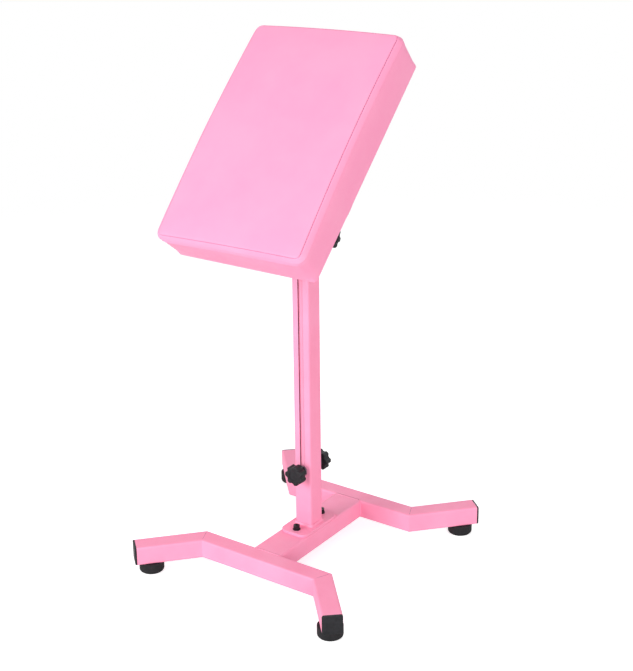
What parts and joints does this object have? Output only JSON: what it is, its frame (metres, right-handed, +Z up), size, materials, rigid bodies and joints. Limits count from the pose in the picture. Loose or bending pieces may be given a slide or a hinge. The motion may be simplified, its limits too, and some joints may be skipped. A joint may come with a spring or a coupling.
{
  "type": "tattoo armrest stand",
  "caption": "Free-standing armrest: H base of square tube on rubber feet, slotted column with sliding post, star knobs and a tilting crowned cushion.",
  "frame": {"origin": "on the floor, centred under the column and the base", "axes": "+X along the base crossbars towards the tilt knob, +Y to the rear (the high end of the pad), +Z up"},
  "size_m": [0.3874, 0.4252, 0.8007],
  "materials": {
    "powder_coat": "soft satin powder coat",
    "black_plastic": "moulded, matt",
    "black_rubber": "moulded, matt",
    "black_oxide": "black oxide, satin",
    "zinc_steel": "bright zinc plate",
    "plywood": "raw birch plywood",
    "foam": "open-cell polyurethane foam",
    "pink_leather": "smooth coated artificial leather",
    "dust_cloth": "spun-bonded cloth"
  },
  "bodies": {
    "base": {"front_crossbar": "powder_coat", "rear_crossbar": "powder_coat", "front_left_arm": "powder_coat", "front_right_arm": "powder_coat", "rear_left_arm": "powder_coat", "rear_right_arm": "powder_coat", "front_left_end_cap": "black_plastic", "front_right_end_cap": "black_plastic", "rear_left_end_cap": "black_plastic", "rear_right_end_cap": "black_plastic", "front_left_foot": "black_rubber", "front_right_foot": "black_rubber", "rear_left_foot": "black_rubber", "rear_right_foot": "black_rubber", "foot_screws": "zinc_steel", "centre_beam": "powder_coat", "flange_plate": "powder_coat", "column_weld": "powder_coat", "column": "powder_coat", "column_screws": "black_oxide", "column_washers": "black_oxide", "column_weld_nuts": "zinc_steel", "guide_bush": "black_plastic"},
    "post": {"sliding_post": "powder_coat", "post_guide": "black_plastic", "post_cap": "black_plastic", "post_weld_nuts": "zinc_steel", "lock_bolt": "zinc_steel", "lock_spacers": "black_plastic", "pivot_bolt": "zinc_steel", "pivot_nut": "zinc_steel", "pivot_spacers": "black_plastic"},
    "pad": {"left_cheek": "powder_coat", "right_cheek": "powder_coat", "bracket_plate": "powder_coat", "bracket_screws": "black_oxide", "t_nuts": "zinc_steel", "backing_board": "plywood", "foam_block": "foam", "pad_cover": "pink_leather", "dust_cover": "dust_cloth", "staples": "zinc_steel"},
    "front_clamp": {"front_washer": "zinc_steel"},
    "front_grip": {"front_knob": "black_plastic", "front_stud": "zinc_steel"},
    "rear_clamp": {"rear_washer": "zinc_steel"},
    "rear_grip": {"rear_knob": "black_plastic", "rear_stud": "zinc_steel"},
    "tilt_clamp": {"tilt_washer": "zinc_steel"},
    "tilt_grip": {"tilt_knob": "black_plastic"}
  },
  "joints": [
    {"name": "height_slide", "type": "slide", "parent": "base", "child": "post", "axis": [0, 0, 1], "range_m": [0, 0.31]},
    {"name": "pad_tilt", "type": "hinge", "parent": "post", "child": "pad", "pos_m": [0, 0, 0.61], "axis": [1, 0, 0], "range_deg": [-45, 45]},
    {"name": "front_clamp_travel", "type": "slide", "parent": "post", "child": "front_clamp", "axis": [0, -1, 0], "range_m": [0, 0.0025]},
    {"name": "front_knob_turn", "type": "hinge", "parent": "front_clamp", "child": "front_grip", "pos_m": [0, -0.0167, 0.1434], "axis": [0, -1, 0], "range_deg": [0, 740]},
    {"name": "rear_clamp_travel", "type": "slide", "parent": "post", "child": "rear_clamp", "axis": [0, 1, 0], "range_m": [0, 0.0025]},
    {"name": "rear_knob_turn", "type": "hinge", "parent": "rear_clamp", "child": "rear_grip", "pos_m": [0, 0.0167, 0.1434], "axis": [0, 1, 0], "range_deg": [0, 740]},
    {"name": "tilt_clamp_travel", "type": "slide", "parent": "post", "child": "tilt_clamp", "axis": [1, 0, 0], "range_m": [0, 0.0025]},
    {"name": "tilt_knob_turn", "type": "hinge", "parent": "tilt_clamp", "child": "tilt_grip", "pos_m": [0.0297, 0, 0.518], "axis": [1, 0, 0], "range_deg": [0, 740]}
  ],
  "couplings": [
    {"joint": "front_knob_turn", "follows": "front_clamp_travel", "rad_per_m": 5026.6},
    {"joint": "rear_knob_turn", "follows": "rear_clamp_travel", "rad_per_m": 5026.6},
    {"joint": "tilt_knob_turn", "follows": "tilt_clamp_travel", "rad_per_m": 5026.6}
  ]
}
